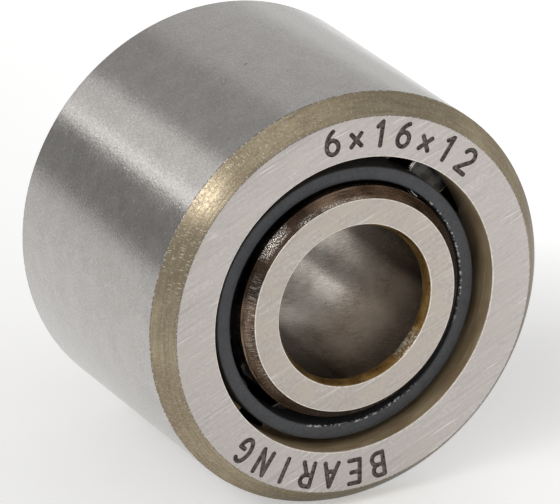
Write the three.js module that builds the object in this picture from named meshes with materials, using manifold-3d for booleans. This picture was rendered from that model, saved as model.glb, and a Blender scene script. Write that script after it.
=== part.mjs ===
// A needle roller bearing, 6 x 16 x 12 mm: an outer ring with two fixed ribs, an inner ring,
// a one-piece moulded window cage and twelve needle rollers.
//
// Millimetres, +Z up. The bearing's axis is Y and the origin is its centre, so the rings' end
// faces are at y = -6 and y = +6, and the bearing lies on its outside surface.
import * as THREE from "three";
import { mergeVertices } from "three/addons/utils/BufferGeometryUtils.js";
import Module from "manifold-3d";

// ---- Driving dimensions ----
const WIDTH = 12; // both rings
const OUTSIDE_R = 8; // outside surface of the outer ring
const SHAFT_R = 3; // bore of the inner ring
const INNER_RACEWAY_R = 4.5; // on the inner ring
const NEEDLE_NOMINAL_R = 1; // needle with no running gap
const NEEDLE_LENGTH = 7.8;
const NEEDLE_COUNT = 12;
const RUNNING_GAP = 0.02; // radial, between a needle and each raceway
const FIRST_NEEDLE_DEG = 40; // where the first needle stands, from +X towards +Z

// ---- Outer ring ----
const OUTSIDE_CHAMFER_R = 0.67; // across the face
const OUTSIDE_CHAMFER_L = 0.81; // along the outside surface
const RIB_BORE_R = 5.75;
const RIB_THICKNESS = 2;

// ---- Inner ring ----
const SHAFT_CHAMFER_R = 0.165; // across the face
const SHAFT_CHAMFER_L = 0.38; // along the bore
const LEAD_IN_R = 0.366; // cone that opens the needles when the ring is pushed in
const LEAD_IN_L = 0.43;

// ---- Cage ----
const CAGE_RECESS = 0.7; // from a ring's face to the cage's end
const CAGE_BORE_R = 4.77;
const CAGE_OUTSIDE_R = 5.32;
const CAGE_EDGE = 0.06; // broken edges of the two ends
const POCKET_SIDE_GAP = 0.2; // between a needle and its pocket's flank, so the cage can hang loose
const POCKET_END_GAP = 0.1;

// ---- Needles ----
const NEEDLE_EDGE = 0.12; // rounded edge of each end
const NEEDLE_EDGE_STEPS = 2;

// ---- Derived ----
const HALF_WIDTH = WIDTH / 2;
const HALF_NEEDLE = NEEDLE_LENGTH / 2;
const NEEDLE_R = NEEDLE_NOMINAL_R - RUNNING_GAP;
const PITCH_R = INNER_RACEWAY_R + NEEDLE_NOMINAL_R;
const OUTER_RACEWAY_R = PITCH_R + NEEDLE_NOMINAL_R;
const RIB_INSIDE = HALF_WIDTH - RIB_THICKNESS;
const CAGE_HALF = HALF_WIDTH - CAGE_RECESS;
const POCKET_R = NEEDLE_R + POCKET_SIDE_GAP;
const POCKET_HALF = HALF_NEEDLE + POCKET_END_GAP;

// ---- Smoothness ----
const RING_SEGMENTS = 96;
const NEEDLE_SEGMENTS = 24;
const POCKET_SEGMENTS = 32;
const MERGE_TOLERANCE = 1e-4;

const wasm = await Module();
wasm.setup();

// A manifold-3d solid from a closed three.js geometry.
function solidOf(geometry) {
  const bare = geometry.clone();
  bare.deleteAttribute("normal");
  bare.deleteAttribute("uv");
  const merged = mergeVertices(bare, MERGE_TOLERANCE);
  const mesh = new wasm.Mesh({
    numProp: 3,
    vertProperties: new Float32Array(merged.getAttribute("position").array),
    triVerts: new Uint32Array(merged.index.array),
  });
  return new wasm.Manifold(mesh);
}

// A three.js geometry from a manifold-3d solid.
function geometryOf(solid) {
  const mesh = solid.getMesh();
  const geometry = new THREE.BufferGeometry();
  const positions = new THREE.BufferAttribute(mesh.vertProperties, 3);
  geometry.setAttribute("position", positions);
  geometry.setIndex(new THREE.BufferAttribute(mesh.triVerts, 1));
  geometry.computeVertexNormals();
  return geometry;
}

// The same [radius, y] points at the back of the bearing, in the reverse order.
function mirrored(points) {
  return points.map(([r, y]) => [r, -y]).reverse();
}

// A ring turned about Y. outside runs from the front face to the middle, and inside runs from
// the middle to the front face; both are the front half of the ring's section.
function ring(outside, inside) {
  const loop = [...outside, ...mirrored(outside), ...mirrored(inside), ...inside];
  const closed = [...loop, loop[0]];
  const profile = closed.map(([r, y]) => new THREE.Vector2(r, y));
  return new THREE.LatheGeometry(profile, RING_SEGMENTS);
}

// One ring whose two ribs keep the needles from moving endways.
function outerRing() {
  const outside = [
    [OUTSIDE_R - OUTSIDE_CHAMFER_R, -HALF_WIDTH],
    [OUTSIDE_R, -HALF_WIDTH + OUTSIDE_CHAMFER_L],
  ];
  const inside = [
    [OUTER_RACEWAY_R, -RIB_INSIDE],
    [RIB_BORE_R, -RIB_INSIDE],
    [RIB_BORE_R, -HALF_WIDTH],
  ];
  return ring(outside, inside);
}

// A plain sleeve with no ribs, so that it slides in and out endways.
function innerRing() {
  const outside = [
    [INNER_RACEWAY_R - LEAD_IN_R, -HALF_WIDTH],
    [INNER_RACEWAY_R, -HALF_WIDTH + LEAD_IN_L],
  ];
  const inside = [
    [SHAFT_R, -HALF_WIDTH + SHAFT_CHAMFER_L],
    [SHAFT_R + SHAFT_CHAMFER_R, -HALF_WIDTH],
  ];
  return ring(outside, inside);
}

// A sleeve with one window for each needle. The windows are centred outside the sleeve, so
// they narrow inwards and a needle can't fall through when the inner ring is out.
function cage() {
  const outside = [
    [CAGE_OUTSIDE_R - CAGE_EDGE, -CAGE_HALF],
    [CAGE_OUTSIDE_R, -CAGE_HALF + CAGE_EDGE],
  ];
  const inside = [
    [CAGE_BORE_R, -CAGE_HALF + CAGE_EDGE],
    [CAGE_BORE_R + CAGE_EDGE, -CAGE_HALF],
  ];
  const pocket = new THREE.CylinderGeometry(POCKET_R, POCKET_R, 2 * POCKET_HALF, POCKET_SEGMENTS);
  let sleeve = solidOf(ring(outside, inside));
  for (let i = 0; i < NEEDLE_COUNT; i++) {
    const centre = needleCentre(i);
    const cutter = pocket.clone().translate(centre.x, centre.y, centre.z);
    sleeve = sleeve.subtract(solidOf(cutter));
  }
  return geometryOf(sleeve);
}

// A needle along Y with flat ends and rounded edges.
function needle() {
  const front = [[0, -HALF_NEEDLE]];
  for (let i = 0; i <= NEEDLE_EDGE_STEPS; i++) {
    const turn = ((i / NEEDLE_EDGE_STEPS) * Math.PI) / 2;
    const r = NEEDLE_R - NEEDLE_EDGE * (1 - Math.sin(turn));
    const y = -HALF_NEEDLE + NEEDLE_EDGE * (1 - Math.cos(turn));
    front.push([r, y]);
  }
  const whole = [...front, ...mirrored(front)];
  const profile = whole.map(([r, y]) => new THREE.Vector2(r, y));
  return new THREE.LatheGeometry(profile, NEEDLE_SEGMENTS);
}

function needleCentre(i) {
  const angle = THREE.MathUtils.degToRad(FIRST_NEEDLE_DEG + (i * 360) / NEEDLE_COUNT);
  return new THREE.Vector3(PITCH_R * Math.cos(angle), 0, PITCH_R * Math.sin(angle));
}

function needleName(i) {
  return "needle_roller_" + String(i + 1).padStart(2, "0");
}

function groundSteel() {
  return new THREE.MeshStandardMaterial({ color: 0xb9b6b2, roughness: 0.35, metalness: 1 });
}

function polishedSteel() {
  return new THREE.MeshStandardMaterial({ color: 0xc4c6c8, roughness: 0.15, metalness: 1 });
}

function blackPlastic() {
  return new THREE.MeshStandardMaterial({ color: 0x2b2d30, roughness: 0.55, metalness: 0 });
}

function piece(name, geometry, material) {
  const mesh = new THREE.Mesh(geometry, material);
  mesh.name = name;
  return mesh;
}

const bearing = new THREE.Group();
bearing.add(piece("outer_ring", outerRing(), groundSteel()));
bearing.add(piece("inner_ring", innerRing(), groundSteel()));
bearing.add(piece("cage", cage(), blackPlastic()));
for (let i = 0; i < NEEDLE_COUNT; i++) {
  const roller = piece(needleName(i), needle(), polishedSteel());
  roller.position.copy(needleCentre(i));
  bearing.add(roller);
}

export default bearing;
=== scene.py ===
"""A needle roller bearing lying on a pale floor: ground steel rings, a plastic cage and needle rollers.

The bearing's axis is Y and its front face is at low Y. Sizes are in millimetres and are turned into
metres where a mesh is made. Overall sizes come from the frame.
"""

import math
from collections import namedtuple

import bmesh
import bpy
from mathutils import Matrix, Vector, noise


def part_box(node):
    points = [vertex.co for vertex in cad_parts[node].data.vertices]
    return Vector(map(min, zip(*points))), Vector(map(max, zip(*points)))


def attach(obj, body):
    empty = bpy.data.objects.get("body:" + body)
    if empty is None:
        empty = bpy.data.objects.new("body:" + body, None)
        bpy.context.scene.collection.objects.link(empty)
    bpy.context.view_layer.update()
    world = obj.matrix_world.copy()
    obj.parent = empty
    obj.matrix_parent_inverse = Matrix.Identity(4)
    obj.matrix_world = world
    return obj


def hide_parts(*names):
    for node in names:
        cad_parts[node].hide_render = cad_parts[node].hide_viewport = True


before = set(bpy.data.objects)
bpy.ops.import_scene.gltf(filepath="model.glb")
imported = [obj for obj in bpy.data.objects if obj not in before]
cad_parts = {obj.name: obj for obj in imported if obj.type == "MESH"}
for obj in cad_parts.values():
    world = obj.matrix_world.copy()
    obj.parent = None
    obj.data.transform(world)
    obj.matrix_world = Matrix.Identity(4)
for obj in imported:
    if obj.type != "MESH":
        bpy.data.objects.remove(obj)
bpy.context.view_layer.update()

MM = 0.001

# ---- Sizes taken from the frame ----
OUTSIDE_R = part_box("outer_ring")[1].x / MM
HALF_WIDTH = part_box("outer_ring")[1].y / MM
INNER_RACEWAY_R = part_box("inner_ring")[1].x / MM
CAGE_OUTSIDE_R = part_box("cage")[1].x / MM
CAGE_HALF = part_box("cage")[1].y / MM
NEEDLE_NAMES = sorted(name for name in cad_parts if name.startswith("needle_roller"))
FIRST_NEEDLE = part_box(NEEDLE_NAMES[0])
HALF_NEEDLE = FIRST_NEEDLE[1].y / MM
NEEDLE_R = (FIRST_NEEDLE[1].x - FIRST_NEEDLE[0].x) / 2 / MM

# ---- Outer ring ----
OUTSIDE_CHAMFER_R = 0.67
OUTSIDE_CHAMFER_L = 0.81
CHAMFER_CROWN = 0.022  # how far the chamfer's middle stands out of a straight cone
RIB_BORE_R = 5.75
RIB_INSIDE = 4.0
OUTER_RACEWAY_R = 6.5

# ---- Inner ring ----
SHAFT_R = 3.0
SHAFT_CHAMFER_R = 0.165
SHAFT_CHAMFER_L = 0.38
LEAD_IN_R = 0.366
LEAD_IN_L = 0.43
LEAD_IN_RIDGES = 4
RIDGE_DEPTH = 0.02
OILY_BAND = 0.45  # how far the lead-in's scale runs on along the raceway

# ---- Cage ----
CAGE_BORE_R = 4.77
POCKET_R = 1.18
POCKET_HALF = 4.0
FLASH_HEIGHT = 0.03
FLASH_AND_GLINT_ARCS = ((12.5, 27.5), (277.5, 22.5))  # (middle, half length) in degrees round the cage's bore, where it has flash whose beads are painted white as painted glints
FLASH_BEADS = ((24, 0.6), (70, 0.4))  # (beads per unit of direction, share of the height)
CAGE_DROOP = 0.19  # how far the cage hangs, just inside its pockets' side gap

# ---- Wear, painted highlights, painted shade and darker zones. Arcs are (middle, half length) in degrees, from +X towards +Z ----
ARC_FADE = 8  # how far past its ends a mark kept to an arc fades out
# bright steel chips and hatching on the lead-in, kept to arcs where highlights fall: partly wear, partly
# painted highlight
CHIPS_AND_HIGHLIGHT_ARC = (104, 13)
CONE_CHIPS_AND_HIGHLIGHT_ARC = (137, 3)
HATCHING_AND_HIGHLIGHT_ARC = (190, 30)
# painted shade on the lead-in
LEAD_IN_SHADE_ARC = (140, 24)
# arcs of the shaft bore that are darker brown
LOWER_DARK_ARC = (-108, 12)
UPPER_DARK_ARC = (26, 20)
# dents on the bore's chamfer, whitened as a painted glint
DENTS_AND_GLINT_ARC = (-42, 5)
# darker towards the bottom: needles and the inner raceway take a second colour there
BOTTOM_FULL_Z = -3.2  # the bottom colour is strongest from here down
BOTTOM_NONE_Z = -1.6
BOTTOM_MOST = 0.9  # share of the colour that is the bottom colour where it is strongest
END_BROWN_R = (5.2, 5.5)  # where a needle's end goes from near black to brown at the bottom, out from the axis

# ---- Edges ----
SHARP_EDGE = 0.04
SOFT_EDGE = 0.07
NEEDLE_EDGE = 0.12
EDGE_STEPS = 4
RING_SEGMENTS = 288
NEEDLE_SEGMENTS = 48
POCKET_SEGMENTS = 48
SMOOTH_DEG = 32

# ---- Engraved marks ----
MARK_RADIUS = 6.64
MARK_HEIGHT = 0.92
MARK_PITCH_DEG = 8.7
GROOVE_R = 0.09
SIZE_MARK = "6x16x12"
SIZE_MARK_DEG = 72.5
WORD_MARK = "BEARING"
WORD_MARK_DEG = 252.5
SHARP_TURN_DEG = 50
END_STEPS = 4
GROOVE_SIDES = 14

# ---- Floor ----
FLOOR_HALF = 400
FLOOR_GAP = 0.01
# painted light: the floor glows, from GLOW_LEFT at the left to GLOW_RIGHT at the right, and less in a
# painted shadow near SHADE
GLOW_LEFT = 0.12
GLOW_RIGHT = 0.51
GLOW_SIDE = 30  # how far to each side the glow goes on changing
GLOW_FULL = 70  # the glow fades between these distances from the bearing's middle
GLOW_END = 175
SHADE = (12, 4)  # the glow is weakest under this point, which is level with the bearing's axis: a painted shadow of the bearing
SHADE_DEPTH = OUTSIDE_R + FLOOR_GAP  # distance from that point down to the floor
SHADE_GLOW = 0.5341  # share of the glow left there
SHADE_END = 14  # distance from that point where the whole glow is back

# ---- Light ----
ROOM_LIGHT = 0.295
BAND_DISTANCE = 300  # of the boxes parallel to the bearing's axis
BAND_LENGTH = 1400
FRONT_DISTANCE = 280  # of the others

# ---- Camera ----
CAMERA_AZIMUTH = -28.12
CAMERA_ELEVATION = 22.96
CAMERA_DISTANCE = 248.9
CAMERA_RIGHT = 2.745
CAMERA_DOWN = 1.954
SENSOR_WIDTH = 36.0
LENS = 439.66

Corner = namedtuple("Corner", "r y edge finish edge_finish", defaults=["edge"])


# ---------------------------------------------------------------- shader helpers

class Graph:
    """The node tree of one material, with a Principled shader at its end."""

    def __init__(self, name):
        self.material = bpy.data.materials.new(name)
        self.material.use_nodes = True
        self.tree = self.material.node_tree
        self.shader = self.tree.nodes["Principled BSDF"]
        self.place = self.node("ShaderNodeTexCoord").outputs["Object"]

    def node(self, kind, **settings):
        made = self.tree.nodes.new(kind)
        for key, value in settings.items():
            setattr(made, key, value)
        return made

    def link(self, source, target):
        self.tree.links.new(source, target)

    def feed(self, target, value):
        """Links an output to a socket, or sets the socket to a constant."""
        if isinstance(value, bpy.types.NodeSocket):
            self.link(value, target)
        else:
            target.default_value = value

    def along(self, axis):
        """One object coordinate, in metres."""
        apart = self.node("ShaderNodeSeparateXYZ")
        self.link(self.place, apart.inputs["Vector"])
        return apart.outputs[axis]

    def unrolled(self):
        """(distance round the outside, distance along the axis), joined at the bottom of the ring."""
        angle = self.math("ARCTAN2", self.along("X"), self.along("Z"))
        together = self.node("ShaderNodeCombineXYZ")
        self.link(self.math("MULTIPLY", angle, OUTSIDE_R * MM), together.inputs["X"])
        self.link(self.along("Y"), together.inputs["Y"])
        return together.outputs["Vector"]

    def flattened(self):
        """Object coordinates with Y left out."""
        flat = self.node("ShaderNodeCombineXYZ")
        self.link(self.along("X"), flat.inputs["X"])
        self.link(self.along("Z"), flat.inputs["Z"])
        return flat.outputs["Vector"]

    def near(self, inner, outer):
        """0 up to that many millimetres from the axis, rising to 1 at the outer radius."""
        length = self.node("ShaderNodeVectorMath", operation="LENGTH")
        self.link(self.flattened(), length.inputs[0])
        return self.remap(length.outputs["Value"], inner * MM, outer * MM, 0.0, 1.0)

    def endwards(self, start, end, most=1.0):
        """0 at the start, rising to most at the end, by distance along the axis from the middle."""
        depth = self.math("ABSOLUTE", self.along("Y"), 0.0)
        return self.remap(depth, start * MM, end * MM, 0.0, most)

    def arc_share(self, middle, half):
        """1 within that many degrees of an angle round the axis, fading to 0 just past it."""
        direction = self.node("ShaderNodeVectorMath", operation="NORMALIZE")
        self.link(self.flattened(), direction.inputs[0])
        cosine = self.node("ShaderNodeVectorMath", operation="DOT_PRODUCT")
        self.link(direction.outputs["Vector"], cosine.inputs[0])
        cosine.inputs[1].default_value = around(middle)
        ends = (math.cos(math.radians(half + ARC_FADE)), math.cos(math.radians(half)))
        return self.remap(cosine.outputs["Value"], *ends, 0.0, 1.0)

    def towards_bottom(self, color, dark_tone):
        """That colour, with a second colour mixed over it towards the bottom of the bearing."""
        share = self.remap(self.along("Z"), BOTTOM_FULL_Z * MM, BOTTOM_NONE_Z * MM, BOTTOM_MOST, 0.0)
        return self.mix(share, color, dark_tone)

    def stretched(self, per_mm, turn, around):
        """Coordinates with that many features per millimetre on each axis.

        They are object coordinates turned about Y, or, if around is true, the unrolled ones turned in
        their own plane.
        """
        turned = self.node("ShaderNodeMapping", vector_type="TEXTURE")
        turned.inputs["Rotation"].default_value[2 if around else 1] = math.radians(turn)
        self.link(self.unrolled() if around else self.place, turned.inputs["Vector"])
        scaled = self.node("ShaderNodeMapping")
        scaled.inputs["Scale"].default_value = [n / MM for n in per_mm]
        self.link(turned.outputs["Vector"], scaled.inputs["Vector"])
        return scaled.outputs["Vector"]

    def noise(self, per_mm, turn=0, around=False, detail=3.0, rough=0.55, distort=0.0):
        made = self.node("ShaderNodeTexNoise")
        self.link(self.stretched(per_mm, turn, around), made.inputs["Vector"])
        made.inputs["Scale"].default_value = 1.0
        made.inputs["Detail"].default_value = detail
        made.inputs["Roughness"].default_value = rough
        made.inputs["Distortion"].default_value = distort
        return made.outputs["Fac"]

    def streaks(self, per_mm, low, high, turn=0, around=False, detail=2.0):
        """1 along scattered thin streaks, where a stretched noise is high, and 0 elsewhere."""
        return self.remap(self.noise(per_mm, turn, around, detail), low, high, 0.0, 1.0)

    def spots(self, per_mm, size, share, ragged=0.8):
        """1 inside scattered ragged spots and 0 outside.

        Only that share of the cells has a spot, of any radius up to size, in cells.
        """
        cells = self.node("ShaderNodeTexVoronoi")
        self.link(self.stretched((per_mm,) * 3, 0, False), cells.inputs["Vector"])
        cells.inputs["Scale"].default_value = 1.0
        chance = self.node("ShaderNodeSeparateColor")
        self.link(cells.outputs["Color"], chance.inputs["Color"])
        reach = self.remap(chance.outputs["Red"], 0.0, share, size, -size)
        wobble = self.noise((per_mm * 7,) * 3, detail=3)
        raggedness = self.remap(wobble, 0.3, 0.7, 0.0, size * ragged)
        distance = self.math("ADD", cells.outputs["Distance"], raggedness)
        return self.remap(self.math("SUBTRACT", reach, distance), 0.0, size * 0.3, 0.0, 1.0)

    def remap(self, value, low, high, to_low, to_high):
        made = self.node("ShaderNodeMapRange")
        self.link(value, made.inputs["Value"])
        made.inputs["From Min"].default_value = low
        made.inputs["From Max"].default_value = high
        made.inputs["To Min"].default_value = to_low
        made.inputs["To Max"].default_value = to_high
        return made.outputs["Result"]

    def mix(self, share, first, second):
        made = self.node("ShaderNodeMix", data_type="RGBA")
        self.feed(made.inputs["Factor"], share)
        self.feed(made.inputs[6], first)
        self.feed(made.inputs[7], second)
        return made.outputs[2]

    def math(self, operation, first, second):
        made = self.node("ShaderNodeMath", operation=operation)
        self.feed(made.inputs[0], first)
        self.feed(made.inputs[1], second)
        return made.outputs[0]

    def bump(self, height, depth_mm, strength=1.0, under=None):
        made = self.node("ShaderNodeBump")
        made.inputs["Strength"].default_value = strength
        made.inputs["Distance"].default_value = depth_mm * MM
        self.link(height, made.inputs["Height"])
        if under is not None:
            self.link(under, made.inputs["Normal"])
        return made.outputs["Normal"]

    def finish(self, color, roughness, metallic, normal=None, anisotropic=0.0, grazing=1.0):
        self.feed(self.shader.inputs["Base Color"], color)
        self.feed(self.shader.inputs["Roughness"], roughness)
        self.shader.inputs["Metallic"].default_value = metallic
        self.shader.inputs["Specular Tint"].default_value = (grazing, grazing, grazing, 1)
        if normal is not None:
            self.link(normal, self.shader.inputs["Normal"])
        if anisotropic:
            self.shader.inputs["Anisotropic"].default_value = anisotropic
            self.shader.inputs["Anisotropic Rotation"].default_value = 0.25
            tangent = self.node("ShaderNodeTangent", direction_type="RADIAL", axis="Y")
            self.link(tangent.outputs["Tangent"], self.shader.inputs["Tangent"])
        return self.material


# ---------------------------------------------------------------- materials

def ground_outside():
    """Centreless-ground steel: grain, fine lines round the ring, short scratches and a few dark pits."""
    g = Graph("ground_outside")
    lines = g.noise((0.5, 20.0, 0.5), detail=4)
    mottle = g.noise((1.3, 1.3, 1.3), detail=5)
    grain = g.noise((9.0, 11.0, 9.0), detail=3, rough=0.65)
    sparkle = g.noise((15.0, 20.0, 15.0), detail=2, rough=0.7)
    scratches = g.streaks((1.6, 17.0, 1.0), 0.66, 0.74, turn=14, around=True)
    nicks = g.streaks((3.0, 13.0, 1.0), 0.69, 0.75, turn=-38, around=True)
    bright_nicks = g.streaks((5.0, 10.0, 1.0), 0.70, 0.75, turn=62, around=True)
    pits = g.math("MAXIMUM", g.spots(0.62, 0.13, 0.34), g.spots(0.80, 0.22, 0.32, ragged=1.5))
    clean = g.mix(g.remap(mottle, 0.3, 0.7, 0, 1), (0.415, 0.398, 0.38, 1), (0.50, 0.484, 0.466, 1))
    grained = g.mix(g.remap(grain, 0.35, 0.72, 0, 0.42), clean, (0.68, 0.66, 0.635, 1))
    sparkled = g.mix(g.remap(sparkle, 0.56, 0.72, 0, 0.55), grained, (0.85, 0.83, 0.80, 1))
    dulled = g.mix(g.remap(sparkle, 0.42, 0.28, 0, 0.5), sparkled, (0.26, 0.245, 0.23, 1))
    nicked = g.mix(g.math("MULTIPLY", nicks, 0.5), dulled, (0.24, 0.225, 0.21, 1))
    brightened = g.mix(g.math("MULTIPLY", bright_nicks, 0.7), nicked, (0.92, 0.90, 0.87, 1))
    color = g.mix(pits, brightened, (0.085, 0.075, 0.065, 1))
    roughness = g.math("ADD", g.remap(mottle, 0.3, 0.7, 0.17, 0.225), g.math("MULTIPLY", pits, 0.3))
    height = g.bump(lines, 0.0010)
    height = g.bump(grain, 0.0050, under=height)
    height = g.bump(scratches, 0.0016, under=height)
    normal = g.bump(g.math("SUBTRACT", 1.0, pits), 0.018, under=height)
    return g.finish(color, roughness, 1.0, normal, anisotropic=0.5)


def tempered_chamfer():
    """Turned chamfer left straw-brown by heat treatment, with cross scratches where it rubbed."""
    g = Graph("tempered_chamfer")
    patches = g.noise((0.45, 0.45, 0.45), detail=4)
    lines = g.noise((0.7, 13.0, 0.7), detail=4, rough=0.65)
    grain = g.noise((10.0, 10.0, 10.0), detail=3)
    across = g.streaks((24.0, 4.5, 1.0), 0.60, 0.72, turn=8, around=True)
    rubs = g.streaks((6.0, 15.0, 1.0), 0.62, 0.73, turn=-20, around=True, detail=4)
    straw = g.mix(g.remap(patches, 0.35, 0.65, 0, 1), (0.290, 0.238, 0.160, 1), (0.385, 0.326, 0.218, 1))
    banded = g.mix(g.remap(lines, 0.42, 0.66, 0, 0.6), straw, (0.195, 0.155, 0.115, 1))
    grained = g.mix(g.remap(grain, 0.45, 0.75, 0, 0.35), banded, (0.50, 0.44, 0.33, 1))
    scratched = g.mix(g.math("MULTIPLY", across, 0.6), grained, (0.66, 0.60, 0.50, 1))
    color = g.mix(g.math("MULTIPLY", rubs, 0.6), scratched, (0.60, 0.55, 0.47, 1))
    height = g.bump(lines, 0.006)
    height = g.bump(grain, 0.002, under=height)
    normal = g.bump(across, 0.003, under=height)
    return g.finish(color, g.remap(grain, 0.3, 0.7, 0.31, 0.20), 1.0, normal, grazing=0.5)


def nicked_edge():
    """The edges of the chamfer: dull, with short bright nicks."""
    g = Graph("nicked_edge")
    nicks = g.noise((9.0, 4.0, 1.0), around=True, detail=4, rough=0.7)
    color = g.mix(g.remap(nicks, 0.5, 0.64, 0, 1), (0.23, 0.20, 0.165, 1), (0.80, 0.76, 0.69, 1))
    return g.finish(color, g.remap(nicks, 0.4, 0.65, 0.5, 0.25), 0.9, g.bump(nicks, 0.03))


def ground_face(name, low, high, stain, lining, depth, scratching):
    """A face ground flat: straight fine lines one way, scratches across them, stains and specks."""
    g = Graph(name)
    grinding = g.noise((0.3, 1.0, 9.0), turn=-25, detail=6, rough=0.75)
    grain = g.noise((7.0, 7.0, 7.0), detail=4, rough=0.7)
    clouds = g.noise((1.1, 1.1, 1.1), detail=6, rough=0.65)
    long_scratches = g.streaks((0.35, 1.0, 7.0), 0.61, 0.68, turn=-21)
    cross_scratches = g.streaks((0.9, 1.0, 13.0), 0.68, 0.75, turn=-68)
    loose_scratches = g.streaks((1.2, 1.0, 12.0), 0.66, 0.73, turn=34)
    specks = g.spots(1.5, 0.12, 0.45, ragged=1.1)
    stains = g.math("MULTIPLY", g.spots(1.2, 0.30, 0.35, ragged=1.6), 0.5)
    lined = g.mix(g.remap(grinding, 0.32, 0.68, 0, 1), low, high)
    grained = g.mix(g.remap(grain, 0.38, 0.68, lining, 0), lined, low)
    stained = g.mix(g.remap(clouds, 0.48, 0.62, 0, 0.85), grained, stain)
    bright = g.mix(g.math("MULTIPLY", long_scratches, scratching), stained, (0.80, 0.76, 0.73, 1))
    dark = g.mix(g.math("MULTIPLY", cross_scratches, 0.4), bright, (0.30, 0.26, 0.235, 1))
    loose = g.mix(g.math("MULTIPLY", loose_scratches, 0.4), dark, (0.75, 0.71, 0.66, 1))
    browned = g.mix(stains, loose, (0.36, 0.28, 0.19, 1))
    color = g.mix(specks, browned, (0.22, 0.18, 0.14, 1))
    height = g.bump(grinding, depth)
    height = g.bump(grain, 0.006, under=height)
    normal = g.bump(long_scratches, 0.010 * scratching, under=height)
    return g.finish(color, g.remap(grinding, 0.3, 0.7, 0.4, 0.28), 1.0, normal)


def outer_face():
    return ground_face("outer_face", (0.44, 0.405, 0.385, 1), (0.665, 0.625, 0.60, 1),
                       (0.52, 0.475, 0.445, 1), 0.6, 0.009, 0.65)


def inner_face():
    return ground_face("inner_face", (0.43, 0.385, 0.345, 1), (0.64, 0.60, 0.56, 1),
                       (0.50, 0.445, 0.385, 1), 0.9, 0.007, 0.35)


def worn_edge():
    """Bright steel where a corner has rubbed through."""
    g = Graph("worn_edge")
    wear = g.noise((7.0, 7.0, 7.0), detail=4)
    color = g.mix(g.remap(wear, 0.3, 0.6, 0, 1), (0.66, 0.60, 0.51, 1), (0.92, 0.88, 0.81, 1))
    return g.finish(color, g.remap(wear, 0.3, 0.7, 0.5, 0.3), 0.55, g.bump(wear, 0.008))


def oiled_bore():
    """The ribs' bore and the raceway: olive-brown under a dried film of oil, with lines round it, and
    painted shade deeper in.
    """
    g = Graph("oiled_bore")
    film = g.noise((0.7, 1.6, 0.7), detail=5)
    lines = g.noise((0.8, 15.0, 0.8), detail=4, rough=0.65)
    flecks = g.streaks((4.0, 9.0, 1.0), 0.68, 0.76, around=True, detail=4)
    brown = g.mix(g.remap(film, 0.35, 0.65, 0, 1), (0.42, 0.31, 0.18, 1), (0.66, 0.53, 0.34, 1))
    lined = g.mix(g.remap(lines, 0.4, 0.65, 0, 0.5), brown, (0.26, 0.18, 0.10, 1))
    # painted shade: darker deeper into the bore, away from the faces
    painted_shade = g.mix(g.endwards(5.9, 5.0, 0.45), lined, (0.20, 0.13, 0.07, 1))
    color = g.mix(flecks, painted_shade, (0.85, 0.80, 0.70, 1))
    normal = g.bump(film, 0.008, under=g.bump(lines, 0.006))
    return g.finish(color, g.remap(film, 0.3, 0.7, 0.32, 0.46), 0.3, normal)


def turned_lead_in():
    """The cone at the inner ring's ends: brown scale over turning lines, chipped to steel in places. The
    chips and hatching are kept to arcs where highlights fall, so they are partly wear and partly painted
    highlight; one arc has painted shade.
    """
    g = Graph("turned_lead_in")
    scale = g.noise((1.2, 3.0, 1.2), detail=5)
    lines = g.noise((0.45, 20.0, 1.0), around=True, detail=4, rough=0.7)
    hatching = g.noise((22.0, 3.0, 1.0), turn=5, around=True, detail=4, rough=0.7)
    crumbs = g.noise((13.0, 20.0, 1.0), around=True, detail=3, rough=0.7)
    # chips and hatching of bright steel on arcs where highlights fall: partly wear, partly painted
    # highlight
    near_face = g.math("MULTIPLY", g.arc_share(*CHIPS_AND_HIGHLIGHT_ARC), g.endwards(5.80, 5.90))
    on_cone = g.math("MULTIPLY", g.arc_share(*CONE_CHIPS_AND_HIGHLIGHT_ARC), g.endwards(5.90, 5.72))
    left = g.math("MULTIPLY", g.arc_share(*HATCHING_AND_HIGHLIGHT_ARC), g.endwards(5.60, 5.75, 0.7))
    patchy = g.math("MULTIPLY", g.remap(crumbs, 0.50, 0.60, 0, 1), g.remap(scale, 0.38, 0.52, 0.2, 1))
    chips_and_highlight = g.math("MULTIPLY", g.math("MAXIMUM", near_face, on_cone), patchy)
    hatching_and_highlight = g.math("MULTIPLY", left, g.remap(hatching, 0.52, 0.64, 0, 1))
    brown = g.mix(g.remap(scale, 0.35, 0.65, 0, 1), (0.085, 0.054, 0.038, 1), (0.250, 0.172, 0.122, 1))
    lined = g.mix(g.remap(lines, 0.52, 0.64, 0, 0.6), brown, (0.42, 0.32, 0.25, 1))
    # painted shade: the cone darkened to near black on one arc
    lead_in_shade = g.math("MULTIPLY", g.arc_share(*LEAD_IN_SHADE_ARC), 0.85)
    shade_painted = g.mix(lead_in_shade, lined, (0.024, 0.014, 0.010, 1))
    color = g.mix(g.math("MAXIMUM", chips_and_highlight, hatching_and_highlight), shade_painted, (0.95, 0.91, 0.85, 1))
    height = g.bump(crumbs, 0.008)
    normal = g.bump(lines, 0.008, under=height)
    return g.finish(color, g.remap(crumbs, 0.3, 0.7, 0.38, 0.2), 1.0, normal)


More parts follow.
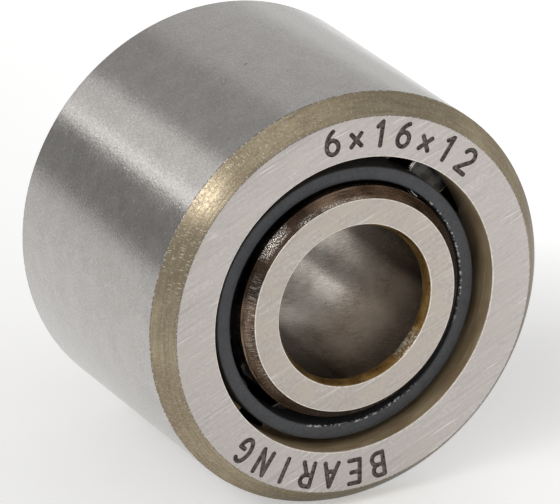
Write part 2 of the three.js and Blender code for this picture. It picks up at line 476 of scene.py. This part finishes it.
def shaft_bore():
    """Honed bore, grey with brown blotches, pits, slanting lines and darker brown bands along two sides.
    """
    g = Graph("shaft_bore")
    blotches = g.noise((0.55, 0.4, 0.55), detail=5)
    honing = g.noise((1.3, 11.0, 1.0), turn=32, around=True, detail=4, rough=0.65)
    grain = g.noise((7.0, 8.0, 7.0), detail=4)
    pits = g.spots(1.2, 0.34, 0.6, ragged=1.0)
    tone = g.mix(g.remap(blotches, 0.42, 0.62, 0, 1), (0.44, 0.40, 0.36, 1), (0.265, 0.215, 0.175, 1))
    lined = g.mix(g.remap(honing, 0.4, 0.65, 0, 0.5), tone, (0.62, 0.58, 0.52, 1))
    # darker brown along two arcs of the bore
    lower_dark = g.math("MULTIPLY", g.arc_share(*LOWER_DARK_ARC), 0.68)
    upper_dark = g.math("MULTIPLY", g.arc_share(*UPPER_DARK_ARC), 0.6)
    half_darkened = g.mix(lower_dark, lined, (0.035, 0.026, 0.022, 1))
    both_darkened = g.mix(upper_dark, half_darkened, (0.085, 0.062, 0.048, 1))
    color = g.mix(pits, both_darkened, (0.05, 0.04, 0.03, 1))
    height = g.bump(grain, 0.004)
    height = g.bump(honing, 0.004, under=height)
    normal = g.bump(g.math("SUBTRACT", 1.0, pits), 0.02, under=height)
    return g.finish(color, g.remap(blotches, 0.3, 0.7, 0.22, 0.31), 1.0, normal)


def amber_chamfer():
    """The bore's chamfer, tinted amber by heat and oil, with dents on one arc whitened as a painted
    glint.
    """
    g = Graph("amber_chamfer")
    tint = g.noise((1.5, 4.0, 1.5), detail=4)
    across = g.streaks((9.0, 1.4, 1.0), 0.58, 0.70, around=True, detail=3)
    amber = g.mix(g.remap(tint, 0.35, 0.65, 0, 1), (0.27, 0.145, 0.042, 1), (0.50, 0.32, 0.115, 1))
    dents = g.remap(g.noise((9.0, 9.0, 9.0), detail=4, rough=0.7), 0.46, 0.56, 0, 1)
    # dents on one arc, whitened below as a painted glint
    dents_and_glint = g.math("MULTIPLY", g.arc_share(*DENTS_AND_GLINT_ARC), dents)
    scratched = g.mix(g.math("MULTIPLY", across, 0.5), amber, (0.70, 0.58, 0.40, 1))
    color = g.mix(dents_and_glint, scratched, (0.98, 0.90, 0.74, 1))
    normal = g.bump(dents_and_glint, 0.06, under=g.bump(across, 0.008))
    return g.finish(color, g.remap(tint, 0.3, 0.7, 0.25, 0.4), 0.8, normal)


def engraved_groove():
    """Burnt floor of the engraved marks."""
    g = Graph("engraved_groove")
    soot = g.noise((8.0, 8.0, 8.0), detail=4)
    color = g.mix(g.remap(soot, 0.35, 0.65, 0, 1), (0.055, 0.045, 0.04, 1), (0.21, 0.18, 0.16, 1))
    return g.finish(color, g.remap(soot, 0.3, 0.7, 0.65, 0.48), 0.6, g.bump(soot, 0.014))


def moulded_plastic():
    """Glass-filled black plastic: fibre mottling, moulding grain, dusty specks and small pores."""
    g = Graph("moulded_plastic")
    mottle = g.noise((2.2, 2.2, 2.2), detail=5)
    grain = g.noise((10.0, 10.0, 10.0), detail=4, rough=0.65)
    fibres = g.streaks((2.5, 1.0, 12.0), 0.66, 0.74, turn=40, detail=3)
    dust = g.spots(2.3, 0.16, 0.22)
    pores = g.spots(1.7, 0.16, 0.25)
    tone = g.mix(g.remap(mottle, 0.3, 0.7, 0, 1), (0.036, 0.039, 0.044, 1), (0.058, 0.062, 0.069, 1))
    grained = g.mix(g.remap(grain, 0.4, 0.75, 0, 0.5), tone, (0.105, 0.108, 0.115, 1))
    fibred = g.mix(g.math("MULTIPLY", fibres, 0.35), grained, (0.16, 0.16, 0.17, 1))
    dusted = g.mix(dust, fibred, (0.34, 0.33, 0.33, 1))
    color = g.mix(pores, dusted, (0.012, 0.012, 0.014, 1))
    return g.finish(color, g.remap(grain, 0.3, 0.7, 0.54, 0.38), 0.0, g.bump(grain, 0.009))


def flash_and_glint():
    """The thin edge of the cage's bore, with beads of flash on two arcs painted white as painted glints.
    """
    g = Graph("flash_and_glint")
    beads = g.noise((8.0, 8.0, 8.0), detail=3)
    first, second = (g.arc_share(middle, half) for middle, half in FLASH_AND_GLINT_ARCS)
    # painted glints: the flash beads on the arcs are coloured white
    both = g.math("MULTIPLY", g.remap(beads, 0.5, 0.6, 0, 1), g.math("MAXIMUM", first, second))
    color = g.mix(both, (0.042, 0.045, 0.05, 1), (0.62, 0.62, 0.61, 1))
    return g.finish(color, 0.42, 0.0, g.bump(beads, 0.02))


def polished_needle():
    """Lapped roller steel with faint lines round it."""
    g = Graph("polished_needle")
    lines = g.noise((1.0, 18.0, 1.0), detail=3)
    smear = g.noise((1.4, 1.4, 1.4), detail=4)
    steel = g.mix(smear, (0.52, 0.51, 0.49, 1), (0.70, 0.69, 0.67, 1))
    # darker towards the bottom of the bearing
    color = g.towards_bottom(steel, (0.020, 0.014, 0.010, 1))
    return g.finish(color, g.remap(smear, 0.3, 0.7, 0.14, 0.26), 1.0, g.bump(lines, 0.0015))


def oily_needle_end():
    """A roller's end: unground, and dark with oil."""
    g = Graph("oily_needle_end")
    dark_tone = g.noise((2.6, 2.6, 2.6), detail=5)
    metal = g.mix(g.remap(dark_tone, 0.38, 0.62, 0, 1), (0.045, 0.043, 0.04, 1), (0.19, 0.185, 0.178, 1))
    # towards the bottom, a needle's end is near black near the axis and brown farther out
    end_bottom_color = g.mix(g.near(*END_BROWN_R), (0.018, 0.012, 0.009, 1), (0.34, 0.25, 0.15, 1))
    color = g.towards_bottom(metal, end_bottom_color)
    return g.finish(color, g.remap(dark_tone, 0.3, 0.7, 0.28, 0.5), 0.9, g.bump(dark_tone, 0.02))


def pale_floor():
    """Pale sheet with painted light: it glows round the bearing, more to the right, and less in a
    painted shadow to the bearing's right.
    """
    g = Graph("pale_floor")
    paper = g.noise((0.05, 0.05, 0.05), detail=3)
    color = g.mix(paper, (0.86, 0.86, 0.86, 1), (0.90, 0.90, 0.90, 1))
    length = g.node("ShaderNodeVectorMath", operation="LENGTH")
    g.link(g.place, length.inputs[0])
    distance = length.outputs["Value"]
    # painted light: the glow is brighter to the right than to the left
    glow = g.remap(g.along("X"), -GLOW_SIDE * MM, GLOW_SIDE * MM, GLOW_LEFT, GLOW_RIGHT)
    faded = g.math("MULTIPLY", glow, g.remap(distance, GLOW_FULL * MM, GLOW_END * MM, 1.0, 0.0))
    # painted shadow of the bearing: the glow is weakest near SHADE
    offset = g.node("ShaderNodeVectorMath", operation="DISTANCE")
    g.link(g.place, offset.inputs[0])
    offset.inputs[1].default_value = (SHADE[0] * MM, SHADE[1] * MM, 0)
    painted_shade = g.remap(offset.outputs["Value"], SHADE_DEPTH * MM, SHADE_END * MM, SHADE_GLOW, 1.0)
    g.shader.inputs["Emission Color"].default_value = (1, 1, 1, 1)
    g.link(g.math("MULTIPLY", faded, painted_shade), g.shader.inputs["Emission Strength"])
    return g.finish(color, 0.9, 0.0)


# ---------------------------------------------------------------- shapes

def rounded(corners):
    """A closed outline with each corner turned into an arc. Returns (points, finish of each side)."""
    points, finishes = [], []
    for i, corner in enumerate(corners):
        here = Vector((corner.r, corner.y))
        before = Vector((corners[i - 1].r, corners[i - 1].y)) - here
        following = corners[(i + 1) % len(corners)]
        after = Vector((following.r, following.y)) - here
        if corner.edge == 0:
            points.append(here)
            finishes.append(corner.finish)
            continue
        half = before.angle(after) / 2
        back_off = corner.edge / math.tan(half)
        bisector = (before.normalized() + after.normalized()).normalized()
        centre = here + bisector * corner.edge / math.sin(half)
        start = here + before.normalized() * back_off - centre
        sweep = start.angle_signed(here + after.normalized() * back_off - centre)
        for step in range(EDGE_STEPS + 1):
            turn = Matrix.Rotation(-sweep * step / EDGE_STEPS, 2)
            points.append(centre + turn @ start)
            finishes.append(corner.edge_finish if step < EDGE_STEPS else corner.finish)
    return points, finishes


def turned(name, points, finishes, materials, segments=RING_SEGMENTS):
    """Turns a closed outline of (radius, y) points, in millimetres, round the Y axis."""
    mesh = bpy.data.meshes.new(name)
    n = len(points)
    vertices = []
    for k in range(segments):
        angle = 2 * math.pi * k / segments
        for p in points:
            vertices.append((p.x * math.cos(angle) * MM, p.y * MM, p.x * math.sin(angle) * MM))
    faces, slots = [], []
    names = list(materials)
    for k in range(segments):
        a, b = k * n, (k + 1) % segments * n
        for i in range(n):
            j = (i + 1) % n
            faces.append((a + i, a + j, b + j, b + i))
            slots.append(names.index(finishes[i]))
    mesh.from_pydata(vertices, [], faces)
    for material in materials.values():
        mesh.materials.append(material)
    mesh.polygons.foreach_set("material_index", slots)
    tidy_normals(mesh)
    made = bpy.data.objects.new(name, mesh)
    bpy.context.scene.collection.objects.link(made)
    return made


def tidy_normals(mesh):
    work = bmesh.new()
    work.from_mesh(mesh)
    bmesh.ops.recalc_face_normals(work, faces=work.faces)
    work.to_mesh(mesh)
    work.free()
    mesh.shade_smooth()
    mesh.set_sharp_from_angle(angle=math.radians(SMOOTH_DEG))


def cut(piece, cutter):
    """Takes the cutter out of the piece for good, and removes the cutter."""
    modifier = piece.modifiers.new("cut", "BOOLEAN")
    modifier.operation = "DIFFERENCE"
    modifier.solver = "MANIFOLD"
    modifier.material_mode = "TRANSFER"
    modifier.object = cutter
    with bpy.context.temp_override(object=piece, active_object=piece):
        bpy.ops.object.modifier_apply(modifier=modifier.name)
    bpy.data.objects.remove(cutter)
    piece.data.set_sharp_from_angle(angle=math.radians(SMOOTH_DEG))


def cutter_object(work, material):
    """A cutter from a bmesh, which is freed."""
    bmesh.ops.recalc_face_normals(work, faces=work.faces)
    mesh = bpy.data.meshes.new("cutter")
    work.to_mesh(mesh)
    work.free()
    mesh.materials.append(material)
    cutter = bpy.data.objects.new("cutter", mesh)
    bpy.context.scene.collection.objects.link(cutter)
    return cutter


# ---------------------------------------------------------------- engraved marks

def arc(cx, cy, rx, ry, start, end, steps=10):
    angles = [math.radians(start + (end - start) * k / steps) for k in range(steps + 1)]
    return [(cx + rx * math.cos(a), cy + ry * math.sin(a)) for a in angles]


def glyph_strokes():
    """Single-line characters in a cell 0.6 wide and 1 high."""
    spine = [(0.06, 0), (0.06, 1)]
    upper_bowl = [(0.06, 1), *arc(0.30, 0.76, 0.24, 0.24, 90, -90), (0.06, 0.52)]
    lower_bowl = [*arc(0.30, 0.26, 0.26, 0.26, 90, -90), (0.06, 0)]
    return {
        "1": [[(0.14, 0.80), (0.34, 1), (0.34, 0)]],
        "2": [[*arc(0.30, 0.72, 0.26, 0.28, 165, -35), (0.04, 0), (0.58, 0)]],
        "6": [arc(0.30, 0.30, 0.26, 0.30, 0, 180), arc(0.30, 0.30, 0.26, 0.30, 180, 360),
              arc(0.62, 0.30, 0.58, 0.70, 110, 180)],
        "x": [[(0.08, 0.08), (0.52, 0.60)], [(0.08, 0.60), (0.52, 0.08)]],
        "A": [[(0, 0), (0.30, 1), (0.60, 0)], [(0.12, 0.36), (0.48, 0.36)]],
        "B": [spine, upper_bowl, lower_bowl],
        "E": [[(0.54, 1), (0.06, 1), (0.06, 0), (0.54, 0)], [(0.06, 0.52), (0.44, 0.52)]],
        "G": [[*arc(0.31, 0.50, 0.27, 0.50, 55, 330, 16), (0.56, 0.44), (0.34, 0.44)]],
        "I": [[(0.30, 0), (0.30, 1)]],
        "N": [[(0.06, 0), (0.06, 1), (0.54, 0), (0.54, 1)]],
        "R": [spine, upper_bowl, [(0.30, 0.52), (0.56, 0)]],
    }


def split_at_corners(stroke):
    """Parts a stroke wherever it turns sharply, so that a swept groove never folds over itself."""
    parts = [[Vector(stroke[0])]]
    for i in range(1, len(stroke)):
        here = Vector(stroke[i])
        parts[-1].append(here)
        if i + 1 < len(stroke):
            turn = (here - parts[-1][-2]).angle(Vector(stroke[i + 1]) - here)
            if math.degrees(turn) > SHARP_TURN_DEG:
                parts.append([here])
    return parts


def with_round_ends(path):
    """(point, radius) pairs along a groove in the plane, shrinking to nothing past both ends."""
    first, last = (path[0] - path[1]).normalized(), (path[-1] - path[-2]).normalized()
    tip = [math.radians(90 * k / END_STEPS) for k in range(1, END_STEPS)]
    front = [(path[0] + first * GROOVE_R * math.sin(a), GROOVE_R * math.cos(a)) for a in reversed(tip)]
    back = [(path[-1] + last * GROOVE_R * math.sin(a), GROOVE_R * math.cos(a)) for a in tip]
    return front + [(point, GROOVE_R) for point in path] + back


def add_groove(work, path):
    """A round-nosed cutter swept along a path of (x, z) points on the front face."""
    stations = with_round_ends(path)
    points = [point for point, _ in stations]
    rings = []
    for i, (point, radius) in enumerate(stations):
        before, after = points[max(i - 1, 0)], points[min(i + 1, len(points) - 1)]
        along = (after - before).normalized()
        across = Vector((-along.y, along.x))
        ring = []
        for k in range(GROOVE_SIDES):
            turn = 2 * math.pi * k / GROOVE_SIDES
            flat = point + across * radius * math.cos(turn)
            depth = -HALF_WIDTH + radius * math.sin(turn)
            ring.append(work.verts.new(Vector((flat.x, depth, flat.y)) * MM))
        rings.append(ring)
    for ring, following in zip(rings, rings[1:]):
        for k in range(GROOVE_SIDES):
            j = (k + 1) % GROOVE_SIDES
            work.faces.new((ring[k], ring[j], following[j], following[k]))
    work.faces.new(rings[0])
    work.faces.new(rings[-1])


def mark_paths(text, centre_deg):
    """For each character, its grooves as (x, z) paths, set clockwise with the tops outwards."""
    characters = []
    for i, character in enumerate(text):
        middle = math.radians(centre_deg - (i - (len(text) - 1) / 2) * MARK_PITCH_DEG)
        outward = Vector((math.cos(middle), math.sin(middle)))
        rightward = Vector((math.sin(middle), -math.cos(middle)))
        paths = []
        for stroke in glyph_strokes()[character]:
            for part in split_at_corners(stroke):
                path = []
                for p in part:
                    out = MARK_RADIUS + (p.y - 0.5) * MARK_HEIGHT
                    path.append(outward * out + rightward * (p.x - 0.3) * MARK_HEIGHT)
                paths.append(path)
        characters.append(paths)
    return characters


def engrave(ring, material):
    """Cuts both marks. Characters don't touch, so one pass takes the next groove of every one."""
    characters = mark_paths(SIZE_MARK, SIZE_MARK_DEG) + mark_paths(WORD_MARK, WORD_MARK_DEG)
    for turn in range(max(len(paths) for paths in characters)):
        work = bmesh.new()
        for paths in characters:
            if turn < len(paths):
                add_groove(work, paths[turn])
        cut(ring, cutter_object(work, material))


# ---------------------------------------------------------------- pieces

def outer_ring():
    materials = {
        "outside": ground_outside(),
        "chamfer": tempered_chamfer(),
        "face": outer_face(),
        "bore": oiled_bore(),
        "edge": worn_edge(),
        "nicks": nicked_edge(),
        "groove": engraved_groove(),
    }
    face_edge = OUTSIDE_R - OUTSIDE_CHAMFER_R
    shoulder = HALF_WIDTH - OUTSIDE_CHAMFER_L
    chamfer_slope = math.hypot(OUTSIDE_CHAMFER_R, OUTSIDE_CHAMFER_L)
    crown_r = OUTSIDE_R - OUTSIDE_CHAMFER_R / 2 + CHAMFER_CROWN * OUTSIDE_CHAMFER_L / chamfer_slope
    crown_y = HALF_WIDTH - OUTSIDE_CHAMFER_L / 2 + CHAMFER_CROWN * OUTSIDE_CHAMFER_R / chamfer_slope
    corners = [
        Corner(face_edge, -HALF_WIDTH, SHARP_EDGE, "chamfer", "nicks"),
        Corner(crown_r, -crown_y, 0, "chamfer"),
        Corner(OUTSIDE_R, -shoulder, SOFT_EDGE, "outside", "nicks"),
        Corner(OUTSIDE_R, shoulder, SOFT_EDGE, "chamfer", "nicks"),
        Corner(crown_r, crown_y, 0, "chamfer"),
        Corner(face_edge, HALF_WIDTH, SHARP_EDGE, "face", "nicks"),
        Corner(RIB_BORE_R, HALF_WIDTH, SHARP_EDGE, "bore"),
        Corner(RIB_BORE_R, RIB_INSIDE, SHARP_EDGE, "bore"),
        Corner(OUTER_RACEWAY_R, RIB_INSIDE, 0, "bore"),
        Corner(OUTER_RACEWAY_R, -RIB_INSIDE, 0, "bore"),
        Corner(RIB_BORE_R, -RIB_INSIDE, SHARP_EDGE, "bore"),
        Corner(RIB_BORE_R, -HALF_WIDTH, SHARP_EDGE, "face"),
    ]
    points, finishes = rounded(corners)
    ring = turned("outer_ring_ground", points, finishes, materials)
    engrave(ring, materials["groove"])
    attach(ring, "outer_ring")
    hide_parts("outer_ring")


def lead_in_corners():
    """The cone from the front face up to the raceway, stepped by coarse turning lines."""
    corners = []
    for i in range(LEAD_IN_RIDGES):
        share = i / LEAD_IN_RIDGES
        radius = INNER_RACEWAY_R - LEAD_IN_R * (1 - share)
        along = -HALF_WIDTH + LEAD_IN_L * share
        corners.append(Corner(radius, along, SHARP_EDGE if i == 0 else 0, "lead_in"))
        valley = (i + 0.45) / LEAD_IN_RIDGES
        radius = INNER_RACEWAY_R - LEAD_IN_R * (1 - valley) - RIDGE_DEPTH
        corners.append(Corner(radius, -HALF_WIDTH + LEAD_IN_L * valley, 0, "lead_in"))
    return corners


def inner_ring():
    materials = {
        "raceway": polished_needle(),
        "lead_in": turned_lead_in(),
        "face": inner_face(),
        "chamfer": amber_chamfer(),
        "bore": shaft_bore(),
        "edge": worn_edge(),
    }
    front_cone = lead_in_corners()
    back_cone = [Corner(c.r, -c.y, c.edge, "lead_in") for c in reversed(front_cone)]
    back_cone[-1] = back_cone[-1]._replace(finish="face")
    raceway_end = HALF_WIDTH - LEAD_IN_L
    chamfer_end = HALF_WIDTH - SHAFT_CHAMFER_L
    corners = [
        *front_cone,
        Corner(INNER_RACEWAY_R, -raceway_end, 0, "lead_in"),
        Corner(INNER_RACEWAY_R, OILY_BAND - raceway_end, 0, "raceway"),
        Corner(INNER_RACEWAY_R, raceway_end - OILY_BAND, 0, "lead_in"),
        Corner(INNER_RACEWAY_R, raceway_end, 0, "lead_in"),
        *back_cone,
        Corner(SHAFT_R + SHAFT_CHAMFER_R, HALF_WIDTH, SHARP_EDGE, "chamfer"),
        Corner(SHAFT_R, chamfer_end, 0, "bore"),
        Corner(SHAFT_R, -chamfer_end, 0, "chamfer"),
        Corner(SHAFT_R + SHAFT_CHAMFER_R, -HALF_WIDTH, SHARP_EDGE, "face"),
    ]
    points, finishes = rounded(corners)
    ring = turned("inner_ring_ground", points, finishes, materials)
    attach(ring, "inner_ring")
    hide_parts("inner_ring")


def needle_centre(name):
    low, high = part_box(name)
    return (low + high) / 2


def pockets_cutter(material):
    """A cylinder for each needle, lying along Y."""
    work = bmesh.new()
    lie_along_y = Matrix.Rotation(math.pi / 2, 4, "X")
    for name in NEEDLE_NAMES:
        place = Matrix.Translation(needle_centre(name)) @ lie_along_y
        bmesh.ops.create_cone(work, cap_ends=True, segments=POCKET_SEGMENTS, radius1=POCKET_R * MM,
                              radius2=POCKET_R * MM, depth=2 * POCKET_HALF * MM, matrix=place)
    return cutter_object(work, material)


def in_flash_arc(direction):
    """True where the cage's bore has flash."""
    for middle, half in FLASH_AND_GLINT_ARCS:
        if direction.angle(Vector(around(middle))) < math.radians(half + ARC_FADE):
            return True
    return False


def raise_flash(mesh):
    """Uneven moulding flash along parts of the end edges of the cage's bore."""
    for vertex in mesh.vertices:
        radius = math.hypot(vertex.co.x, vertex.co.z) / MM
        if radius > CAGE_BORE_R + SOFT_EDGE or abs(vertex.co.y) / MM < CAGE_HALF - SOFT_EDGE:
            continue
        direction = Vector((vertex.co.x, 0, vertex.co.z)).normalized()
        if in_flash_arc(direction):
            ripple = sum(noise.noise(direction * fineness) * share for fineness, share in FLASH_BEADS)
            vertex.co -= direction * max(0.0, ripple) * FLASH_HEIGHT * MM


def cage():
    plastic = moulded_plastic()
    corners = [
        Corner(CAGE_OUTSIDE_R, -CAGE_HALF, SOFT_EDGE, "plastic", "plastic"),
        Corner(CAGE_OUTSIDE_R, CAGE_HALF, SOFT_EDGE, "plastic", "plastic"),
        Corner(CAGE_BORE_R, CAGE_HALF, SOFT_EDGE, "plastic", "flash"),
        Corner(CAGE_BORE_R, -CAGE_HALF, SOFT_EDGE, "plastic", "flash"),
    ]
    points, finishes = rounded(corners)
    sleeve = turned("cage_moulding", points, finishes, {"plastic": plastic, "flash": flash_and_glint()})
    raise_flash(sleeve.data)
    cut(sleeve, pockets_cutter(plastic))
    sleeve.data.transform(Matrix.Translation((0, 0, -CAGE_DROOP * MM)))
    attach(sleeve, "cage")
    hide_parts("cage")


def needles():
    steel, end = polished_needle(), oily_needle_end()
    for name in NEEDLE_NAMES:
        roller = needle_mesh(name + "_lapped", steel, end)
        roller.data.transform(Matrix.Translation(needle_centre(name)))
        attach(roller, name)
        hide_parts(name)


def needle_mesh(name, steel, end):
    """A roller along Y with rounded edges, closed by a point at the middle of each end."""
    edge = []
    for step in range(EDGE_STEPS + 1):
        turn = math.pi / 2 * step / EDGE_STEPS
        radius = NEEDLE_R - NEEDLE_EDGE * (1 - math.sin(turn))
        edge.append((radius, -HALF_NEEDLE + NEEDLE_EDGE * (1 - math.cos(turn))))
    side = edge + [(r, -y) for r, y in reversed(edge)]
    vertices = [(0, -HALF_NEEDLE * MM, 0), (0, HALF_NEEDLE * MM, 0)]
    for r, y in side:
        for k in range(NEEDLE_SEGMENTS):
            angle = 2 * math.pi * k / NEEDLE_SEGMENTS
            vertices.append((r * math.cos(angle) * MM, y * MM, r * math.sin(angle) * MM))
    faces = []
    last = 2 + (len(side) - 1) * NEEDLE_SEGMENTS
    for k in range(NEEDLE_SEGMENTS):
        following = (k + 1) % NEEDLE_SEGMENTS
        faces.append((0, 2 + k, 2 + following))
        faces.append((1, last + following, last + k))
        for row in range(len(side) - 1):
            a = 2 + row * NEEDLE_SEGMENTS
            b = a + NEEDLE_SEGMENTS
            faces.append((a + k, b + k, b + following, a + following))
    mesh = bpy.data.meshes.new(name)
    mesh.from_pydata(vertices, [], faces)
    mesh.materials.append(steel)
    mesh.materials.append(end)
    mesh.polygons.foreach_set("material_index", [int(len(face) == 3) for face in faces])
    tidy_normals(mesh)
    roller = bpy.data.objects.new(name, mesh)
    bpy.context.scene.collection.objects.link(roller)
    return roller


# ---------------------------------------------------------------- studio

def floor():
    """A wide pale sheet just under the bearing."""
    half = FLOOR_HALF * MM
    level = -(OUTSIDE_R + FLOOR_GAP) * MM
    mesh = bpy.data.meshes.new("floor")
    corners = [(-half, -half, level), (half, -half, level), (half, half, level), (-half, half, level)]
    mesh.from_pydata(corners, [], [(0, 1, 2, 3)])
    mesh.materials.append(pale_floor())
    sheet = bpy.data.objects.new("floor", mesh)
    bpy.context.scene.collection.objects.link(sheet)


def soft_box(name, direction, distance, size, brightness):
    """A soft box facing the bearing, with its second side as near the Y axis as it can be."""
    lamp = bpy.data.lights.new(name, "AREA")
    lamp.shape = "RECTANGLE"
    lamp.size, lamp.size_y = (side * MM for side in size)
    lamp.energy = brightness * math.pi * lamp.size * lamp.size_y
    back = Vector(direction).normalized()
    wide = Vector((0, 1, 0)).cross(back).normalized()
    rotation = Matrix((wide, back.cross(wide), back)).transposed()
    made = bpy.data.objects.new(name, lamp)
    made.matrix_world = Matrix.Translation(back * distance * MM) @ rotation.to_4x4()
    made.visible_camera = False
    bpy.context.scene.collection.objects.link(made)


def around(degrees):
    """The direction at that angle round the bearing's axis, from +X towards +Z."""
    return (math.cos(math.radians(degrees)), 0, math.sin(math.radians(degrees)))


def studio_light():
    """A dim even room with soft boxes.

    Boxes parallel to the bearing's axis give the bands along its outside. The front ones light its front
    chamfer and the inner ring's lead-in at the upper left. left_fill adds only a little.
    """
    world = bpy.data.worlds.new("studio")
    world.use_nodes = True
    background = world.node_tree.nodes["Background"]
    background.inputs["Color"].default_value = (1.0, 0.985, 0.97, 1)
    background.inputs["Strength"].default_value = ROOM_LIGHT
    bpy.context.scene.world = world
    soft_box("right_box", around(6), BAND_DISTANCE, (150, BAND_LENGTH), 0.53)
    soft_box("top_box", around(50), BAND_DISTANCE, (319, BAND_LENGTH), 0.31)
    soft_box("overhead_box", around(100), BAND_DISTANCE, (250, BAND_LENGTH), 0.135)
    soft_box("key_shoulder", around(130), BAND_DISTANCE, (104, BAND_LENGTH), 0.62)
    soft_box("key_strip", around(144), BAND_DISTANCE, (38, BAND_LENGTH), 1.35)
    soft_box("front_key", (-0.70, -0.33, 0.63), FRONT_DISTANCE, (60, 90), 4.2)
    soft_box("front_top", (-0.10, -0.36, 0.92), FRONT_DISTANCE, (200, 120), 0.6)
    soft_box("front_side", (-0.91, -0.38, 0.16), FRONT_DISTANCE, (150, 120), 0.3)
    soft_box("left_fill", (-0.735, 0.129, 0.662), FRONT_DISTANCE, (40, 60), 6.0)


def camera():
    azimuth, elevation = math.radians(CAMERA_AZIMUTH), math.radians(CAMERA_ELEVATION)
    right = Vector((math.cos(azimuth), math.sin(azimuth), 0))
    forward = Vector((-math.sin(azimuth) * math.cos(elevation),
                      math.cos(azimuth) * math.cos(elevation),
                      -math.sin(elevation)))
    up = right.cross(forward)
    face_centre = Vector((0, -HALF_WIDTH, 0))
    offset = forward * CAMERA_DISTANCE + right * CAMERA_RIGHT - up * CAMERA_DOWN
    data = bpy.data.cameras.new("camera")
    data.sensor_width = SENSOR_WIDTH
    data.lens = LENS
    data.clip_start = 10 * MM
    data.clip_end = 5000 * MM
    made = bpy.data.objects.new("camera", data)
    made.location = (face_centre - offset) * MM
    made.rotation_euler = forward.to_track_quat("-Z", "Y").to_euler()
    bpy.context.scene.collection.objects.link(made)
    bpy.context.scene.camera = made


bpy.context.scene.view_settings.view_transform = "Standard"
camera()
studio_light()
floor()
outer_ring()
inner_ring()
cage()
needles()
